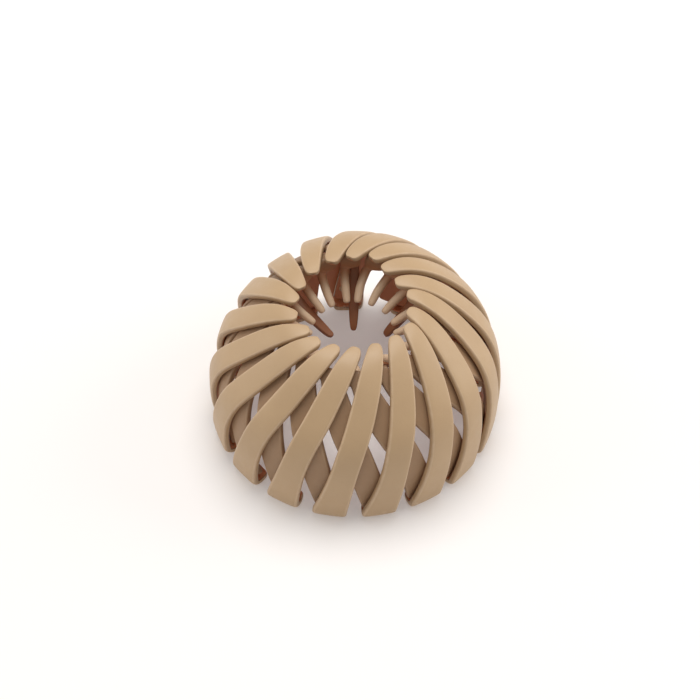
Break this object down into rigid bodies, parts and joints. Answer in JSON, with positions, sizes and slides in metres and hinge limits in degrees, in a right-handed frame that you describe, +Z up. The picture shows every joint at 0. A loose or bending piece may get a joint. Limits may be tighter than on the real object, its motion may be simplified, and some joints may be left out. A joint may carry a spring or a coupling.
{
  "type": "hair bun clip",
  "caption": "Round expandable hair-bun clip: two crossing layers of curved ribs pinned into a hollow dome, with teeth in its open top.",
  "frame": {"origin": "centre of the ring of feet, on the face the clip rests on", "axes": "+Z up along the dome's axis through the hole in its top, +Y towards the back of the picture, +X to its right"},
  "size_m": [0.0836, 0.0842, 0.0466],
  "materials": {
    "outer_plastic": "smooth matte tan, faint satin sheen",
    "inner_plastic": "matte tan-brown, moulded"
  },
  "bodies": {
    "root": {"outer_rib_01": "outer_plastic", "outer_rib_02": "outer_plastic", "outer_rib_03": "outer_plastic", "outer_rib_04": "outer_plastic", "outer_rib_05": "outer_plastic", "outer_rib_06": "outer_plastic", "outer_rib_07": "outer_plastic", "outer_rib_08": "outer_plastic", "outer_rib_09": "outer_plastic", "outer_rib_10": "outer_plastic", "outer_rib_11": "outer_plastic", "outer_rib_12": "outer_plastic", "outer_rib_13": "outer_plastic", "outer_rib_14": "outer_plastic", "outer_rib_15": "outer_plastic", "outer_rib_16": "outer_plastic", "outer_rib_17": "outer_plastic", "outer_rib_18": "outer_plastic", "inner_rib_01": "inner_plastic", "inner_rib_02": "inner_plastic", "inner_rib_03": "inner_plastic", "inner_rib_04": "inner_plastic", "inner_rib_05": "inner_plastic", "inner_rib_06": "inner_plastic", "inner_rib_07": "inner_plastic", "inner_rib_08": "inner_plastic", "inner_rib_09": "inner_plastic", "inner_rib_10": "inner_plastic", "inner_rib_11": "inner_plastic", "inner_rib_12": "inner_plastic", "inner_rib_13": "inner_plastic", "inner_rib_14": "inner_plastic", "inner_rib_15": "inner_plastic", "inner_rib_16": "inner_plastic", "inner_rib_17": "inner_plastic", "inner_rib_18": "inner_plastic"}
  },
  "joints": []
}
